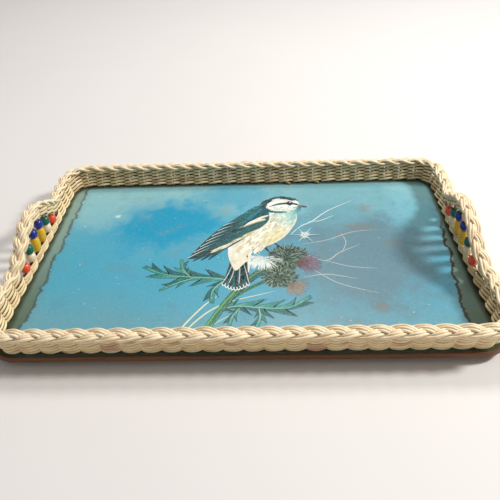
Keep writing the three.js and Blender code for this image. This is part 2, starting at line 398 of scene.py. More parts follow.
def caneMesh(name, canes, sides=8):
    # each cane is a dict: points in millimetres, radius and tone; closed, across and tall if it is not a plain ring;
    # and for a woven one outward (out of the weave's face), showing (1 on top, -1 buried) and opened (clear all round)
    corners, faces, notes = [], [], []
    ringTurn = np.arange(sides) / sides * 2 * np.pi
    for cane in canes:
        line = np.asarray(cane["points"], float)
        count = len(line)
        closed = cane.get("closed", True)
        if closed:
            tangent = np.roll(line, -1, 0) - np.roll(line, 1, 0)
        else:
            tangent = np.gradient(line, axis=0)
        tangent /= np.linalg.norm(tangent, axis=1)[:, None]
        first = np.cross(tangent, cane.get("across", (0.0, 0.0, 1.0)))
        first /= np.linalg.norm(first, axis=1)[:, None]
        second = np.cross(tangent, first) * cane.get("tall", 1.0)
        radius = np.broadcast_to(np.asarray(cane["radius"], float), (count,))
        around = np.cos(ringTurn)[:, None] * first[:, None, :] + np.sin(ringTurn)[:, None] * second[:, None, :]
        ring = line[:, None, :] + radius[:, None, None] * around
        start = sum(len(block) for block in corners)
        corners.append(ring.reshape(-1, 3))
        gaps = np.linalg.norm(np.diff(line, axis=0), axis=1)
        along = np.concatenate([[0], np.cumsum(gaps)]) * mm
        openness = np.ones((count, sides))
        if "showing" in cane:   # 1 where a corner faces out of the weave, 0 where it is buried in it
            facing = ((ring - line[:, None, :]) @ cane["outward"][:, :, None])[..., 0] / radius[:, None]
            opened = cane.get("opened", np.zeros(count))
            openness = np.clip(0.5 + 0.5 * facing * cane["showing"][:, None] + opened[:, None], 0, 1)
        notes.append(np.stack([np.repeat(along, sides), openness.reshape(-1), np.full(count * sides, cane["tone"])], 1))
        rows = np.arange(count if closed else count - 1)[:, None]
        here, there = start + rows * sides, start + (rows + 1) % count * sides
        k = np.arange(sides)[None]
        after = (k + 1) % sides
        faces.extend(np.stack([here + k, here + after, there + after, there + k], axis=2).reshape(-1, 4).tolist())
        if not closed:
            faces.append([start + i for i in range(sides - 1, -1, -1)])
            faces.append([start + (count - 1) * sides + i for i in range(sides)])
    mesh = bpy.data.meshes.new(name)
    mesh.from_pydata((np.concatenate(corners) * mm).tolist(), [], faces)
    mesh.attributes.new("cane", "FLOAT_VECTOR", "POINT").data.foreach_set("vector", np.concatenate(notes).ravel())
    mesh.shade_smooth()
    return addObject(name, mesh)


def finishPiece(piece, finish, body, nodes=()):
    piece.data.materials.clear()
    piece.data.materials.append(finish)
    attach(piece, body)
    if nodes:
        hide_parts(*nodes)


def paintNode(name, finish):
    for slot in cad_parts[name].material_slots:
        slot.material = finish


trayBody = "tray"

# rows of pairing: two canes that swing out and in round the stakes, and cross over one another between them;
# step is how much lower a cane lies outside than inside, beadSeat how far the rows are packed down under the beads
weave = {
    "caneRadius": 1.22, "tall": 1.28, "swing": 2.70, "swingShape": 0.85, "cross": 1.05, "bottomCross": 0.75,
    "lapOut": 0.5, "step": 1.45, "pointsPerStake": 10, "lowerRows": (2.1, 5.85, 9.6), "upperRows": (2.75, 6.55, 10.2),
    "wander": 0.16, "uneven": 0.05, "openBy": 1.5, "beadSeat": 0.9, "seatHalfWidth": 48.0, "seatFade": 14.0,
}


def weaveBand(name, rows, base, arched, seed):
    count = wall["stakes"] * weave["pointsPerStake"]
    run = np.arange(count) / count * perimeter
    _, y, nx, ny = stakeLine(run)
    underBeads = np.clip((weave["seatHalfWidth"] - np.abs(y)) / weave["seatFade"] + 1, 0, 1) * (np.abs(nx) > endFacing)
    canes = []
    for level, height in enumerate(rows):
        if not arched:
            height = height - underBeads * weave["beadSeat"] * level / (len(rows) - 1)
        for half in range(2):
            turn = np.pi * (run / stakePitch - 0.5) + half * np.pi
            swing = np.sign(np.cos(turn)) * np.abs(np.cos(turn)) ** weave["swingShape"] * weave["swing"]
            swing = swing + weave["lapOut"] * np.sin(turn) ** 2   # the canes change places nearer the outside
            lift = weave["cross"] * np.sin(turn) * (weave["bottomCross"] if not arched and level == 0 else 1)
            lift = lift - weave["step"] * np.cos(turn)   # lower outside than inside, so no light shows through
            key = seed + level * 10 + half
            lift = lift + height + drift(count, weave["wander"], (13, 31, 57, 80, 97), key)
            swing = swing * (1 + drift(count, weave["uneven"], (40, 27, 66), key + 500))
            radius = weave["caneRadius"] * (1 + drift(count, weave["uneven"], (9, 23, 41), key + 900))
            canes.append({"points": wallPoint(run, lift, swing, base, arched), "radius": radius, "tone": key * 0.37,
                          "tall": weave["tall"], "showing": np.clip(swing / weave["openBy"], -1, 1),
                          "outward": np.stack([nx, ny, 0 * nx], 1)})
    return caneMesh(name, canes)


def buildWeave():
    finish = caneFinish("wovenCane", caneTones["weave"])
    lower = weaveBand("lowerPairing", weave["lowerRows"], wall["foot"], False, 100)
    finishPiece(lower, finish, trayBody, ["lower_weave"])
    upper = weaveBand("upperPairing", weave["upperRows"], wall["archFoot"], True, 200)
    finishPiece(upper, finish, trayBody, ["upper_weave"])
    print("weave done:", 2 * (len(weave["lowerRows"]) + len(weave["upperRows"])), "canes")


# plaited border: three strands of three canes; reach is a strand's swing across the plait, depth its rise and fall,
# dome how much its middle cane stands up, and the rim values keep the painted crevice shade off the plait's open edges
plait = {
    "rounds": 27, "canes": (-2.5, 0.0, 2.5), "caneRadius": 1.36, "reach": 3.6, "depth": 2.0,
    "dome": 0.42, "sideDome": -0.6, "domeEdge": 1.6, "up": 12.2, "archOut": 2.0, "roll": 12.0,
    "pointsPerRound": 32, "wander": 0.16, "uneven": 0.04, "rimFrom": 3.0, "rimWidth": 2.5, "rimLight": 0.8,
}


def buildPlait():
    finish = caneFinish("plaitedCane", caneTones["plait"])
    fine = np.linspace(0, perimeter, 6001)
    middle = wallPoint(fine, plait["up"], 0.0, wall["archFoot"], True, plait["archOut"])
    length = np.concatenate([[0], np.cumsum(np.linalg.norm(np.diff(middle, axis=0), axis=1))])
    count = plait["rounds"] * plait["pointsPerRound"]
    step = length[-1] / plait["rounds"]
    roll = math.radians(plait["roll"])
    for strand in range(3):
        canes = []
        for index, offset in enumerate(plait["canes"]):
            key = 300 + strand * 10 + index
            at = np.arange(count) / count * length[-1]
            turn = 2 * np.pi * (at / step + strand / 3)
            across = plait["reach"] * np.sin(turn)
            pitchAngle = np.arctan(plait["reach"] * 2 * np.pi / step * np.cos(turn))
            side = offset + drift(count, plait["wander"], (19, 37, 54, 81), key)
            over = -np.sin(2 * turn)
            lift = over * plait["depth"] * (1 + 0.10 * drift(count, 1, (7, 15, 27), key + 40))
            lift += plait["dome"] * np.tanh(over * plait["domeEdge"]) * (1 if offset == 0 else plait["sideDome"])
            at = at - side * np.sin(pitchAngle)
            across = across + side * np.cos(pitchAngle)
            run = np.interp(np.mod(at, length[-1]), length, fine)
            up = plait["up"] + lift * math.cos(roll) + across * math.sin(roll)
            out = -across * math.cos(roll) + lift * math.sin(roll)
            points = wallPoint(run, up, out, wall["archFoot"], True, plait["archOut"])
            radius = plait["caneRadius"] * (1 + drift(count, plait["uneven"], (11, 29, 43), key + 70))
            _, _, nx, ny = stakeLine(run)
            upright = np.stack([nx * math.sin(roll), ny * math.sin(roll), np.full(count, math.cos(roll))], 1)
            rim = np.clip((np.abs(across) - plait["rimFrom"]) / plait["rimWidth"], 0, 1) * plait["rimLight"]
            canes.append({"points": points, "radius": radius, "tone": key * 0.53,
                          "showing": np.clip(over * plait["domeEdge"], -1, 1), "opened": rim, "outward": upright})
        piece = caneMesh("plaitStrand" + "ABC"[strand], canes)
        finishPiece(piece, finish, trayBody, ["plaited_border"])
    print("plait done: 3 strands,", plait["rounds"] * 3, "leaves a side")


# foot border under the board: three canes twisted round one another, in millimetres
foot = {"height": 3.06, "outset": -0.6, "spread": 1.62, "caneRadius": 1.42, "turns": 44, "points": 880}


def buildFoot():
    finish = caneFinish("footCane", caneTones["foot"])
    run = np.arange(foot["points"]) / foot["points"] * perimeter
    x, y, nx, ny = stakeLine(run)
    canes = []
    for index in range(3):
        turn = 2 * np.pi * (run / perimeter * foot["turns"] + index / 3)
        out = foot["outset"] + foot["spread"] * np.cos(turn)
        line = np.stack([x + nx * out, y + ny * out, foot["height"] + foot["spread"] * np.sin(turn)], axis=1)
        canes.append({"points": line, "radius": foot["caneRadius"], "tone": 2.1 * index})
    finishPiece(caneMesh("footRope", canes), finish, trayBody, ["foot_border"])
    print("foot border done")


# upright stakes inside the wall, and two cut ends left at the foot of the back wall: (x, turn in degrees, length)
stake = {"radius": 1.5, "bottom": 3.5, "top": 9.5, "besideBeads": 3,
         "cutEnds": ((41, 62, 9), (77, 66, 8)), "cutRadius": 1.15, "cutInset": 1.5, "cutHeight": 2.6, "cutDroop": 0.12}


def buildStakes():
    finish = caneFinish("stakeCane", caneTones["stake"])
    canes = []
    for index in range(wall["stakes"]):
        run = np.array([(index + 0.5) * stakePitch])
        x, y, nx, ny = stakeLine(run)
        if abs(nx[0]) > endFacing and abs(y[0]) < stake["besideBeads"] * stakePitch:
            continue   # the bead stakes are parts of their own
        head = wallPoint(run, np.array([stake["top"]]), 0.0, wall["archFoot"])[0]
        heel = np.array([x[0], y[0], wall["foot"]])
        base = np.array([x[0], y[0], stake["bottom"]])
        points = [base, (base + heel) / 2, heel, heel + (head - heel) * 0.5, head]
        canes.append({"points": points, "radius": stake["radius"], "closed": False, "across": (nx[0], ny[0], 0.0),
                      "tone": index * 0.71})
    stakes = len(canes)
    for x, turn, long in stake["cutEnds"]:
        start = np.array([x, wall["halfDepth"] - stake["cutInset"], wall["foot"] + stake["cutHeight"]])
        way = np.array([math.sin(math.radians(turn)), -math.cos(math.radians(turn)), -stake["cutDroop"]])
        canes.append({"points": [start, start + way * long / 2, start + way * long], "radius": stake["cutRadius"],
                      "closed": False, "tone": x})
    finishPiece(caneMesh("wallStakes", canes), finish, trayBody)
    plain = caneFinish("beadStakeCane", caneTones["stake"], False)
    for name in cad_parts:
        if name.startswith("stake_"):
            paintNode(name, plain)
    print("stakes done:", stakes, "in the wall,", len(canes) - stakes, "cut ends")


# beads: one round and one oval shape, each spun from a section
beads = {
    "round": {"width": 10.0, "height": 9.4, "fullness": 0.92},
    "oval": {"width": 10.0, "height": 16.4, "fullness": 0.80},
    "bore": 1.85, "boreLong": 0.96, "lip": 2.325, "steps": 28, "profile": 26, "boreCorners": 6, "mergeWithin": 0.02,
}


def beadShape(name, size):
    bpy.ops.object.select_all(action="DESELECT")
    bpy.ops.mesh.primitive_circle_add(vertices=beads["profile"], radius=1, rotation=(math.pi / 2, 0, 0))
    made = bpy.context.object
    made.name = name
    bpy.ops.object.transform_apply(location=True, rotation=True, scale=True)
    half = size["height"] / 2
    # the ring of points becomes the bead's section: bore wall, end lips and the full outside
    inner, outer = beads["boreCorners"], beads["profile"] - beads["boreCorners"]
    shaped = [(beads["bore"], half * beads["boreLong"] * (1 - 2 * index / (inner - 1))) for index in range(inner)]
    for index in range(outer):
        turn = (index + 0.5) / outer * math.pi
        bulge = math.sin(turn) ** size["fullness"]
        shaped.append((beads["lip"] + (size["width"] / 2 - beads["lip"]) * bulge, -half * math.cos(turn)))
    for vertex, (x, z) in zip(made.data.vertices, shaped):
        vertex.co = (x * mm, 0, z * mm)
    bpy.ops.object.mode_set(mode="EDIT")
    bpy.ops.mesh.select_all(action="SELECT")
    bpy.ops.mesh.spin(steps=beads["steps"], angle=2 * math.pi, center=(0, 0, 0), axis=(0, 0, 1))
    bpy.ops.mesh.select_all(action="SELECT")
    bpy.ops.mesh.remove_doubles(threshold=beads["mergeWithin"] * mm)
    bpy.ops.mesh.normals_make_consistent(inside=False)
    bpy.ops.object.mode_set(mode="OBJECT")
    bpy.ops.object.shade_smooth()
    return made


def buildBeads():
    shapes = {kind: beadShape(kind + "Bead", beads[kind]) for kind in ("round", "oval")}
    paints = {colour: beadFinish(colour, tone) for colour, tone in beadPaint.items()}
    made = 0
    for name in sorted(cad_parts):
        if not name.startswith("bead_"):
            continue
        _, side, number, colour = name.split("_")
        low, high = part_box(name)
        middle = (Vector(low) + Vector(high)) / 2
        shape = shapes["oval" if colour == "yellow" else "round"]
        bead = addObject("bead" + side.capitalize() + number + colour.capitalize(), shape.data.copy())
        lean = math.radians(wall["handleLean"][side]) * (-1 if side == "right" else 1)
        spin = Matrix.Rotation(random.uniform(0, 6.28), 4, "Z")
        bead.data.transform(Matrix.Translation(middle) @ Matrix.Rotation(lean, 4, "Y") @ spin)
        finishPiece(bead, paints[colour], name, [name])
        made += 1
    for shape in shapes.values():
        bpy.data.objects.remove(shape)
    print("beads done:", made)


def buildBoard():
    paintNode("base_board", boardWood())
    print("board finished")


def swatch(red, green, blue):
    # a paint colour given as it looks, turned to the values a shader takes
    return tuple(((c / 255 + 0.055) / 1.055) ** 2.4 if c > 10 else c / 3295 for c in (red, green, blue))


# the print: its colours are given as they look. Sky, stains and tide marks are in the sheet, bird and thistle on it
sky = {
    "pale": swatch(140, 190, 196), "middle": swatch(74, 164, 190), "deep": swatch(6, 150, 188),
    "dusk": swatch(100, 132, 144), "low": swatch(112, 158, 168), "grime": swatch(70, 112, 126),
    "margin": swatch(128, 152, 138), "edge": swatch(84, 92, 62), "rim": swatch(52, 58, 36), "tide": swatch(54, 50, 34),
    "rust": swatch(130, 116, 98), "bleach": swatch(214, 222, 212),
}
# soft patches: middle and half size in millimetres, colour, strength
cloudPatches = [
    ((-95, 52), (92, 58), sky["deep"], 0.98), ((-178, 22), (38, 62), sky["middle"], 0.8),
    ((-20, 110), (60, 30), sky["deep"], 0.55), ((112, -20), (104, 108), sky["dusk"], 0.95),
    ((-52, -70), (66, 34), sky["middle"], 0.6), ((96, 104), (84, 40), swatch(112, 166, 178), 0.7),
    ((96, 66), (34, 30), swatch(104, 160, 174), 0.7), ((-178, 95), (46, 52), sky["pale"], 0.75),
]
rustPatches = [
    ((119, 40), (17, 8), sky["rust"], 0.45), ((134, 78), (10, 9), sky["rust"], 0.40),
    ((98, 27), (9, 6), sky["rust"], 0.35), ((126, -91), (6, 8), sky["rust"], 0.45),
    ((150, 8), (12, 6), sky["rust"], 0.3), ((-153, 71), (4, 3), sky["bleach"], 0.9),
]
# a tide mark a finger's width in from each end: side, place in metres, slant, strength
tideMarks = ((-1, -0.2045, 0.0, 0.62), (1, 0.2078, 0.095, 1.0))


def softPatch(tree, x, y, centre, size, noise, wander=0.45):
    # 1 in the middle of an uneven soft oval, 0 outside it
    across = sums(tree, "DIVIDE", less(tree, x, centre[0] * mm), size[0] * mm)
    up = sums(tree, "DIVIDE", less(tree, y, centre[1] * mm), size[1] * mm)
    return steps(tree, wobble(tree, distance(tree, across, up), noise, wander * 4), 1.25, 0.35)


def wallReach(tree, x, y):
    # how far outside the line of the stakes a place on the board is, in metres, and below 0 inside it
    overX = less(tree, sums(tree, "ABSOLUTE", x), straightX * mm)
    overY = less(tree, sums(tree, "ABSOLUTE", y), straightY * mm)
    outside = distance(tree, sums(tree, "MAXIMUM", overX, 0), sums(tree, "MAXIMUM", overY, 0))
    inside = sums(tree, "MINIMUM", sums(tree, "MAXIMUM", overX, overY), 0)
    return less(tree, sums(tree, "ADD", outside, inside), wall["cornerRadius"] * mm)


def printedSheet():
    made, tree, shader = startFinish("printedSheet")
    source = objectPlace(tree)
    x, y, _ = apart(tree, source)
    broad = mottle(tree, source, 9, 4, 0.6, 0.6)
    medium = mottle(tree, source, 34, 5, 0.62)
    fine = mottle(tree, source, 320, 4, 0.7)
    toTop = steps(tree, wobble(tree, y, broad, 0.16), -0.02, 0.14)
    colour = blendColour(tree, toTop, sky["middle"], sky["pale"])
    toLow = steps(tree, wobble(tree, y, medium, 0.10), -0.03, -0.14)
    colour = stain(tree, toLow, 0.8, colour, sky["low"])
    for centre, size, tone, amount in cloudPatches:
        colour = stain(tree, softPatch(tree, x, y, centre, size, medium), amount, colour, tone)
    colour = stain(tree, steps(tree, medium, 0.52, 0.70), 0.28, colour, sky["dusk"])
    colour = stain(tree, steps(tree, fine, 0.50, 0.72), 0.20, colour, sky["pale"])
    colour = stain(tree, steps(tree, fine, 0.46, 0.30), 0.22, colour, sky["grime"])
    # rust freckles and bleached nicks, thickest to the right of the bird
    freckle = mottle(tree, place(tree, source, (1, 1, 1), (0.3, 0.7, 0)), 150, 3, 0.7, 0.8)
    region = softPatch(tree, x, y, (120, 30), (90, 95), medium)
    dots = times(tree, steps(tree, freckle, 0.665, 0.72), sums(tree, "MULTIPLY_ADD", region, 0.75, 0.12))
    colour = blendColour(tree, dots, colour, sky["rust"])
    nick = mottle(tree, place(tree, source, (1, 1, 1), (2.3, 1.1, 0)), 210, 2, 0.6, 0.4)
    colour = stain(tree, steps(tree, nick, 0.735, 0.76), 0.7, colour, sky["bleach"])
    for centre, size, tone, amount in rustPatches:
        colour = stain(tree, softPatch(tree, x, y, centre, size, freckle, 0.9), amount, colour, tone)
    # the tide marks, with the stained margin outside them and a faint halo inside
    wander = mottle(tree, place(tree, source, (0, 1, 0)), 30, 6, 0.66)
    jag = mottle(tree, place(tree, source, (0.35, 1, 0)), 120, 4, 0.7)
    marginTone = blendColour(tree, steps(tree, y, 0.05, -0.12), sky["margin"], sky["edge"])
    width = sums(tree, "MULTIPLY_ADD", less(tree, jag, 0.42), 0.0050, 0.0011)
    for side, at, slant, dark in tideMarks:
        line = wobble(tree, wobble(tree, at, wander, 0.024 * side), jag, 0.006)
        line = sums(tree, "MULTIPLY_ADD", y, slant, line)
        past = times(tree, less(tree, x, line), side)
        colour = stain(tree, steps(tree, past, -0.0004, 0.0007), 0.84, colour, marginTone)
        halo = times(tree, steps(tree, past, -0.010, 0.0), steps(tree, past, 0.003, 0.0))
        colour = stain(tree, halo, 0.25, colour, sky["dusk"])
        mark = steps(tree, sums(tree, "DIVIDE", sums(tree, "ABSOLUTE", past), width), 1.25, 0.45)
        if side > 0:   # the right mark fades out towards the back
            mark = times(tree, mark, steps(tree, y, 0.070, 0.020))
        colour = stain(tree, mark, dark, colour, sky["tide"])
    # dirt and painted shade along the foot of the wall, and the bare dark rim outside it
    reach = wobble(tree, wallReach(tree, x, y), medium, 0.005)
    colour = stain(tree, steps(tree, reach, -0.0085, -0.0035), 0.85, colour, sky["rim"])
    tree.links.new(colour, shader.inputs["Base Color"])
    tree.links.new(steps(tree, medium, -0.4, 2.2, False), shader.inputs["Roughness"])
    shader.inputs["Specular IOR Level"].default_value = 0.35
    roughen(tree, shader, fine, 0.10, 0.0002)
    return made


def brushPaint():
    made, tree, shader = startFinish("brushPaint")
    source = objectPlace(tree)
    paint = tree.nodes.new("ShaderNodeAttribute")
    paint.attribute_name = "paint"
    streak = mottle(tree, source, 520, 4, 0.7)
    wash = mottle(tree, source, 90, 3, 0.6)
    colour = stain(tree, steps(tree, streak, 0.45, 0.72), 0.22, paint.outputs["Color"], swatch(196, 208, 196))
    colour = stain(tree, steps(tree, wash, 0.50, 0.72), 0.22, colour, swatch(66, 100, 106))
    tree.links.new(colour, shader.inputs["Base Color"])
    tree.links.new(steps(tree, wash, -0.4, 2.2, False), shader.inputs["Roughness"])
    shader.inputs["Specular IOR Level"].default_value = 0.35
    roughen(tree, shader, streak, 0.10, 0.0002)
    return made


# brush strokes lie one above the other, a hair apart; millimetres
art = {"surface": 12.6, "layerGap": 0.012, "strokeGap": 0.00002, "samples": 14}
strokes = []   # each one: left edge, right edge or middle, colours along it, layer


def smoothLine(points, samples):
    points = [np.asarray(p, float) for p in points]
    ends = [2 * points[0] - points[1]] + points + [2 * points[-1] - points[-2]]
    line = []
    for index in range(len(points) - 1):
        a, b, c, d = ends[index:index + 4]
        for t in np.linspace(0, 1, samples, endpoint=False):
            bend, twist = 2 * a - 5 * b + 4 * c - d, 3 * b - a - 3 * c + d
            line.append(0.5 * (2 * b + (c - a) * t + bend * t * t + twist * t ** 3))
    line.append(points[-1])
    return np.array(line)


def lineSides(line):
    heading = np.gradient(line, axis=0)
    heading /= np.linalg.norm(heading, axis=1)[:, None] + 1e-9
    return heading, np.stack([-heading[:, 1], heading[:, 0]], 1), np.linspace(0, 1, len(line))


def stroke(points, width, colour, tip, layer, blunt=(0.1, 0.0)):
    # one pull of a brush, from colour to tip; blunt says how wide its two ends stay
    line = smoothLine(points, max(3, art["samples"] // (len(points) - 1)))
    _, across, t = lineSides(line)
    swell = np.sin(np.pi * np.clip(t * 0.86 + 0.10, 0, 1)) ** 0.7
    swell = np.maximum(swell, blunt[0] * (1 - t) + blunt[1] * t)
    swell[-1] = blunt[1]
    across = across * (swell * width / 2)[:, None]
    shade = np.array([[a + (b - a) * k for a, b in zip(colour, tip)] for k in t])
    strokes.append((line + across, line - across, shade, layer))


def feather(root, end, width, colour, tip, layer, bow):
    root, end = np.array(root, float), np.array(end, float)
    side = np.array([-(end - root)[1], (end - root)[0]])
    stroke([root, (root + end) / 2 + side * bow, end], width, colour, tip, layer, (0.3, 0.25))


def blob(outline, colour, low, layer):
    # a filled shape, shaded from colour at its top to low at its foot
    closed = list(outline) + [outline[0]]
    edge = smoothLine(closed, 5)[:-1]
    middle = edge.mean(axis=0)
    top, foot = edge[:, 1].max(), edge[:, 1].min()
    mix = (edge[:, 1] - foot) / (top - foot)
    shade = np.array([[b + (a - b) * k for a, b in zip(colour, low)] for k in mix])
    strokes.append((edge, middle, shade, layer))


def jitter(size):
    return np.array([random.uniform(-size, size), random.uniform(-size, size)])


def towards(turn):
    return np.array([math.cos(turn), math.sin(turn)])


def paintBird():
    ink, teal, mid, green = swatch(14, 40, 48), swatch(16, 84, 98), swatch(52, 138, 150), swatch(22, 98, 100)
    white, cream, down = swatch(244, 244, 236), swatch(236, 226, 196), swatch(222, 226, 214)
    butter, mint = swatch(214, 202, 126), swatch(120, 190, 190)
    # tail: a narrow fan of dark feathers, each with a pale edge
    for index in range(9):
        k = index / 8
        end = (-23 + 24 * k, -57 - 7 * math.sin(k * math.pi))
        feather((-14 + 5 * k, 2), end, 5.6, ink, green if index % 2 else ink, 9, 0.03)
        stroke([(end[0] - 2.2, end[1] + 4), (end[0], end[1] - 0.6), (end[0] + 2.2, end[1] + 4)], 1.1, white, white, 11)
    for index in (0, 2, 5, 8):
        k = index / 8
        stroke([(-13 + 6 * k, -10), (-19 + 18 * k, -38), (-25 + 27 * k, -55)], 1.0, mid, white, 10)
    blob([(-22, 14), (-8, 14), (4, 6), (2, -12), (-6, -26), (-12, -34), (-17, -24), (-21, -8)], white, cream, 12)
    stroke([(-1, 0), (1, -18), (1, -38)], 3.0, white, cream, 12)
    for index in range(46):   # the soft down under the tail
        start = np.array([-17 + 18 * random.random(), 12 - 22 * random.random()])
        stroke([start, start + (0, -8), start + (1.5, -15)], 2.2, random.choice((white, cream, down)), cream, 13)
    # body, then short feathers coloured by their place: blue-green throat, cream belly, a yellow wash low in front
    blob([(16, 88), (8, 76), (0, 60), (-14, 38), (-20, 18), (-14, 4), (4, 3), (22, 8), (38, 22), (48, 40), (54, 58),
          (52, 76), (40, 90)], swatch(206, 218, 200), cream, 14)
    axis = np.array([0.56, 0.83])   # belly to throat
    for index in range(420):
        far, side = random.random(), random.uniform(-1, 1)
        along = 96 * (1 - far)
        spread = 22 * math.sin(math.pi * min(0.97, 0.16 + 0.74 * (1 - far))) ** 0.7
        start = np.array([-12, 10]) + axis * along + np.array([axis[1], -axis[0]]) * (side * spread + 9)
        throat = np.clip((along - 52) / 30, 0, 1)
        wash = np.clip(1 - abs(along - 38) / 26, 0, 1) * np.clip(side * 1.3, 0, 1)
        belly = np.array(cream) * (1 - 0.5 * random.random()) + np.array(white) * 0.5 * random.random()
        tone = belly + (np.array(butter) - belly) * wash * 0.85
        tone = tone + (np.array(mint) - tone) * throat * (0.55 + 0.45 * max(0, side))
        tone = np.clip(tone * random.uniform(0.88, 1.10), 0, 1)
        stroke([start, start + (-3, -4), start + (-6, -10)], 2.6, tone, np.clip(tone * 1.08, 0, 1), 15 + 3 * far)
    # back and nape
    for index in range(110):
        k = index / 109
        start = np.array([17 - 38 * k, 91 - 46 * k + 3 * math.sin(k * 3)]) + jitter(3.4)
        stroke([start, start + (-4, -7), start + (-10, -16)], 4.2, random.choice((teal, mid, green)), teal, 19)
    # wing: long flight feathers stepped back along its upper edge, each tipped with a fine white line
    blob([(22, 76), (8, 76), (-12, 64), (-31, 44), (-48, 17), (-61, -11), (-48, -10), (-28, 0), (-8, 18), (10, 38),
          (22, 56)], green, ink, 20)
    for index in range(7):
        k = index / 6
        root, end = np.array((10 - 14 * k, 62 - 34 * k)), np.array((-29 - 34 * k, 46 - 59 * k))
        feather(root, end, 7.4, teal if index % 2 else green, ink, 21 + 0.2 * index, -0.02)
        heading = (end - root) / np.linalg.norm(end - root)
        rim = np.array([heading[1], -heading[0]]) * 2.8   # towards the feather's upper edge
        edge = [root * 0.40 + end * 0.60 + rim, root * 0.18 + end * 0.82 + rim * 0.8, end + rim * 0.2]
        stroke(edge, 1.2, mid, white, 21.1 + 0.2 * index, (0.1, 0.6))
    for index in range(3):   # the longest feathers stand clear below the rest
        root, end = np.array((-10 - 3 * index, 22 - 2 * index)), np.array((-57 + 8 * index, -17 + 1 * index))
        feather(root, end, 4.2, green, ink, 20.5 - 0.1 * index, 0.0)
    for row, (reach, tone) in enumerate(((20, green), (16, teal), (11, mid))):
        for index in range(13):
            k = index / 12
            root = np.array([22 - 22 * k - row * 1.5, 78 - 26 * k + row * 3]) + jitter(1)
            end = root + (-reach, -reach * 0.95)
            feather(root, end, 4.6 - row * 0.6, tone, green if row else ink, 24 + row, 0.05)
    for bar, wide in ((((18, 58), (6, 54), (-6, 44)), 6.2), (((22, 66), (14, 62), (6, 57)), 3.4)):
        stroke(bar, wide, cream, white, 27, (0.5, 0.4))
    for index in range(9):
        start = np.array([18 - 24 * index / 8, 58 - 13 * index / 8])
        stroke([start, start + (-4, -2.6), start + (-8, -7)], 1.0, butter, teal, 28)
    for index in range(34):   # pale yellow flank below the wing
        k = index / 33
        start = np.array([14 - 44 * k, 40 - 36 * k]) + jitter(1.4)
        stroke([start, start + (-5, -4), start + (-10, -7)], 2.0, random.choice((butter, cream, white)), cream, 23)
    # head: dark cap, white brow and cheek, dark line through the eye and round the cheek
    blob([(20, 90), (22, 80), (34, 75), (48, 76), (57, 84), (56, 95), (46, 104), (30, 103)], white, white, 28)
    for index in range(44):
        k = index / 43
        start = np.array([57 - 36 * k, 95 + 11 * math.sin(min(k * 2.6 + 0.25, 3.0))]) + jitter(0.9)
        stroke([start, start + (-4, 0.4 - 3 * k), start + (-9, -1 - 8 * k)], 2.4, (ink, teal, mid)[index % 3], ink, 29)
    for index in range(16):
        start = np.array([54 - 26 * index / 15, 94 + 5 * math.sin(index / 15 * 2.8)]) + jitter(0.5)
        stroke([start, start + (-4, 0.2), start + (-7, -1)], 1.8, white, cream, 30)
    stroke([(60, 85.5), (52, 89.5), (44, 91), (32, 89), (23, 84)], 4.4, ink, green, 31, (0.5, 0.4))
    stroke([(57, 83.5), (48, 80), (36, 78), (26, 78)], 4.0, mint, swatch(196, 212, 206), 31)
    stroke([(26, 98), (18, 91), (16, 82), (22, 75), (32, 72)], 5.4, ink, teal, 30)
    stroke([(20, 77), (32, 72.5), (44, 72)], 3.6, teal, mid, 30)
    stroke([(58, 83), (56, 76), (50, 69)], 5.0, green, mint, 30)
    for index in range(34):
        start = np.array([53 - 26 * random.random(), 86 - 9 * random.random()])
        stroke([start, start + (-3, -1), start + (-6, -3)], 1.5, white, random.choice((white, cream, mint)), 32)
    blob([(56.5, 88.6), (61, 87.2), (67, 82.0), (61, 82.6), (56, 84)], swatch(176, 182, 172), ink, 33)   # beak
    stroke([(56, 86), (61, 84.8), (67, 82.2)], 0.7, ink, ink, 34)
    blob([(51.6, 91), (47, 86), (42, 91), (47, 95.8)], swatch(24, 52, 70), ink, 33)
    blob([(48.8, 93.4), (47.6, 92.2), (46.4, 93.4), (47.6, 94.6)], white, white, 34)
    # legs
    for hip, heel, toes in (((16, 9), (22, -4), (30, -9)), ((28, 12), (38, 0), (50, -3))):
        stroke([hip, heel], 2.2, ink, ink, 13, (0.5, 0.4))
        for spread in (-4, 0, 4):
            stroke([heel, (toes[0], toes[1] + spread)], 1.2, ink, ink, 13)


def paintHead(middle, size, seed):
    # one thistle head: rings of spiny bracts round a dark heart
    dark, green, light = swatch(24, 54, 48), swatch(52, 88, 74), swatch(116, 138, 112)
    middle = np.array(middle)
    blob([middle + towards(turn) * size * 0.8 for turn in np.linspace(0, 5.6, 9)], green, dark, 5)
    for ring, reach in enumerate((1.12, 0.95, 0.76, 0.58, 0.40)):
        count = 84 - 12 * ring
        for index in range(count):
            turn = index / count * 2 * math.pi + ring * 0.2 + seed + random.uniform(-0.06, 0.06)
            root = middle + towards(turn) * size * (reach - 0.30)
            end = middle + towards(turn) * size * reach * random.uniform(0.9, 1.12) + (1.5, 1.0)
            tone, tip = (dark, green, dark, light)[(index + ring) % 4], dark if index % 5 else light
            stroke([root, (root + end) / 2 + jitter(0.6), end], 1.5, tone, tip, 5.2 + ring * 0.2)
    for index in range(110):
        turn = random.uniform(0, 6.28)
        end = middle + towards(turn) * size * random.uniform(0.3, 1.25)
        stroke([end * 0.80 + middle * 0.20, end], 0.55, light, swatch(176, 190, 164), 6.4)


def paintTuft(root, heading, spread, length, colour, tip, count, layer=7):
    for index in range(count):
        way = towards(math.radians(heading + random.gauss(0, spread * 0.5)))
        start = root + way * length * random.uniform(0, 0.45) + jitter(1.8)
        end = root + way * length * random.uniform(0.5, 1.35)
        stroke([start, (start + end) / 2 + jitter(0.8), end], 0.8, colour, tip, layer)


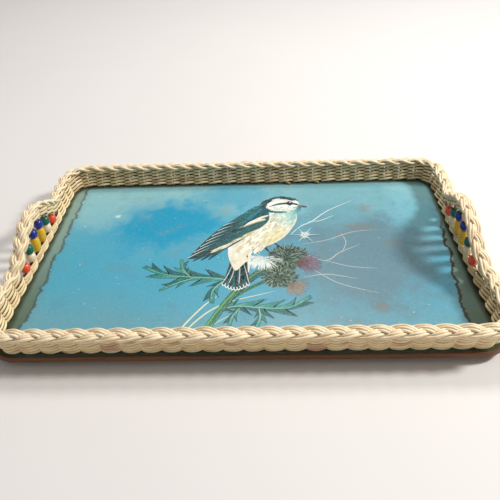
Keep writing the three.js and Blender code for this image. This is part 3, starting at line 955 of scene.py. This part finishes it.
def paintLeaf(rib, width, teeth, deep, bright):
    # a spiny blade each side of a rib: the edge swells forward into each tooth, then drops back
    line = smoothLine(rib, 90 // (len(rib) - 1))
    heading, across, t = lineSides(line)
    body = np.sin(np.pi * np.clip(t * 0.95 + 0.03, 0, 1)) ** 0.6 * width
    for side, tone, far in ((1, bright, deep), (-1, deep, swatch(20, 84, 86))):
        saw = np.mod(t * teeth + (0.0 if side > 0 else 0.45), 1.0)
        reach = body * (0.30 + 0.95 * saw ** 2.2)
        edge = line + across * (side * reach)[:, None] + heading * (reach * saw * 0.9)[:, None]
        shade = np.array([[a + (b - a) * (0.25 + 0.6 * k) for a, b in zip(tone, far)] for k in saw])
        strokes.append((edge, line, shade, 3))
        stroke(edge[::2], 0.6, swatch(24, 88, 88), swatch(24, 88, 88), 4, (0.8, 0.4))
    for index in range(teeth):
        k = int((index + 0.75) / teeth * (len(line) - 1))
        stroke([line[max(0, k - 8)], line[k] + across[k] * body[k] * 0.5], 0.6, swatch(150, 204, 180), bright, 4)
    stroke(rib, 1.3, swatch(150, 204, 170), bright, 4.5)


def paintThistle():
    deep, bright, stem = swatch(24, 112, 112), swatch(64, 164, 148), swatch(44, 122, 76)
    for lines, tone in (([(-66, -136), (-56, -112), (-40, -86), (-28, -72)], swatch(226, 226, 194)),
                        ([(-60, -136), (-48, -110), (-22, -84), (28, -66)], swatch(218, 220, 188)),
                        ([(-48, -137), (-30, -112), (-4, -92)], swatch(150, 206, 190))):
        stroke(lines, 1.7, tone, tone, 2, (0.5, 0.1))
    dusk = swatch(28, 58, 48)
    stroke([(38, -18), (24, -26), (6, -42), (-12, -68), (-26, -94), (-44, -137)], 7.4, dusk, stem, 5, (0.5, 0.8))
    stroke([(36, -20), (22, -28), (3, -45), (-14, -70), (-28, -96), (-46, -137)], 2.0, swatch(60, 104, 78),
           swatch(110, 188, 116), 5.1, (0.4, 0.6))
    stroke([(38, -23), (26, -30), (9, -46), (-8, -70), (-22, -95), (-40, -137)], 1.6, swatch(14, 46, 42),
           swatch(16, 74, 62), 5.1, (0.5, 0.5))
    for index in range(70):   # hairs and short spines on the stem
        k = random.random()
        x = np.interp(k, (0, 0.35, 0.7, 1), (34, 2, -24, -44))
        y = np.interp(k, (0, 0.35, 0.7, 1), (-20, -46, -92, -137))
        start = np.array([x, y]) + jitter(1.5)
        stroke([start, start + (random.uniform(-1, 1) * 4, random.uniform(2, 5))], 0.7, dusk if k < 0.5 else stem,
               swatch(120, 170, 130), 5.15)
    stroke([(32, -44), (20, -50), (2, -62), (-12, -76)], 4.2, dusk, stem, 4.8, (0.5, 0.5))
    paintLeaf([(-6, -54), (-28, -46), (-56, -43), (-84, -38), (-106, -24)], 12.5, 5, deep, bright)
    paintLeaf([(-52, -44), (-68, -51), (-86, -62)], 6, 2, deep, bright)
    paintLeaf([(-58, -42), (-66, -30), (-68, -14)], 6.5, 2, bright, deep)
    paintLeaf([(-24, -50), (-33, -64), (-34, -82)], 7.5, 2, deep, bright)
    paintLeaf([(-26, -92), (-8, -87), (16, -90), (40, -90), (62, -76)], 11.5, 5, deep, bright)
    paintLeaf([(-6, -90), (-12, -100), (-16, -114)], 5.5, 2, deep, bright)
    paintLeaf([(12, -90), (13, -104), (8, -118)], 5.5, 2, deep, bright)
    paintHead((41, -13), 19, 0.0)
    paintHead((31, -44), 16, 0.5)
    paintTuft((54, -22), -12, 62, 18, swatch(92, 64, 82), swatch(128, 110, 128), 170)
    paintTuft((50, -22), -12, 60, 10, swatch(84, 52, 56), swatch(112, 76, 76), 70, 7.5)
    paintTuft((42, -56), -44, 60, 15, swatch(116, 100, 84), swatch(148, 142, 128), 150)
    paintTuft((15, -12), -112, 75, 18, swatch(206, 216, 210), swatch(240, 244, 240), 170, 6)


def paintTwigs():
    pale, dim = swatch(232, 238, 228), swatch(186, 190, 182)
    for line, tone, width in (
            ([(46, 28), (58, 44), (70, 52), (90, 74), (122, 96)], pale, 1.2),
            ([(66, 52), (80, 54), (96, 64)], pale, 0.9), ([(60, -8), (80, -20), (96, -6), (120, 8)], dim, 1.2),
            ([(80, -20), (104, -30), (132, -34)], dim, 0.9), ([(56, -46), (80, -42), (110, -50)], dim, 1.1),
            ([(58, 10), (84, 16), (112, 30), (140, 34)], dim, 1.0), ([(62, -30), (90, -56), (128, -72)], dim, 0.9),
            ([(98, -6), (104, 12), (100, 30)], dim, 0.8)):
        stroke(line, width, tone, tone, 1, (0.4, 0.1))
    glint, rays = np.array([61, 26]), 30
    for index in range(rays):   # dew glint: every fifth ray is a long one
        way = towards(index / rays * 2 * math.pi)
        length = 17 if index % 5 == 0 else random.uniform(4, 9)
        stroke([glint - way, glint + way * length], 1.0, swatch(252, 252, 238), swatch(150, 196, 208), 35)


def buildPrint():
    paintNode("picture_sheet", printedSheet())
    paintTwigs()
    paintThistle()
    paintBird()
    corners, faces, tones = [], [], []
    for order, (left, right, shade, layer) in enumerate(sorted(strokes, key=lambda item: item[3])):
        height = art["surface"] + art["layerGap"] * (1 + layer) + art["strokeGap"] * order
        start, count = len(corners), len(left)
        if right.ndim == 2:   # a brush stroke, between two edges
            for a, b, tone in zip(left, right, shade):
                corners += [(*a, height), (*b, height)]
                tones += [(*tone, 1), (*tone, 1)]
            faces += [(k, k + 1, k + 3, k + 2) for k in range(start, start + 2 * count - 2, 2)]
        else:   # a filled shape, round its middle
            corners += [(*right, height)] + [(*point, height) for point in left]
            tones += [(*shade.mean(axis=0), 1)] + [(*tone, 1) for tone in shade]
            faces += [(start, start + 1 + i, start + 1 + (i + 1) % count) for i in range(count)]
    mesh = bpy.data.meshes.new("paintedBird")
    mesh.from_pydata((np.array(corners) * mm).tolist(), [], faces)
    mesh.color_attributes.new("paint", "FLOAT_COLOR", "POINT").data.foreach_set("color", np.array(tones, float).ravel())
    piece = addObject("paintedBird", mesh)
    upward = bmesh.new()
    upward.from_mesh(mesh)
    bmesh.ops.reverse_faces(upward, faces=[face for face in upward.faces if face.normal.z < 0])
    upward.to_mesh(mesh)
    upward.free()
    finishPiece(piece, brushPaint(), trayBody)
    print("print done:", len(strokes), "brush strokes")


buildStudio()
buildBoard()
buildPrint()
buildWeave()
buildPlait()
buildFoot()
buildStakes()
buildBeads()
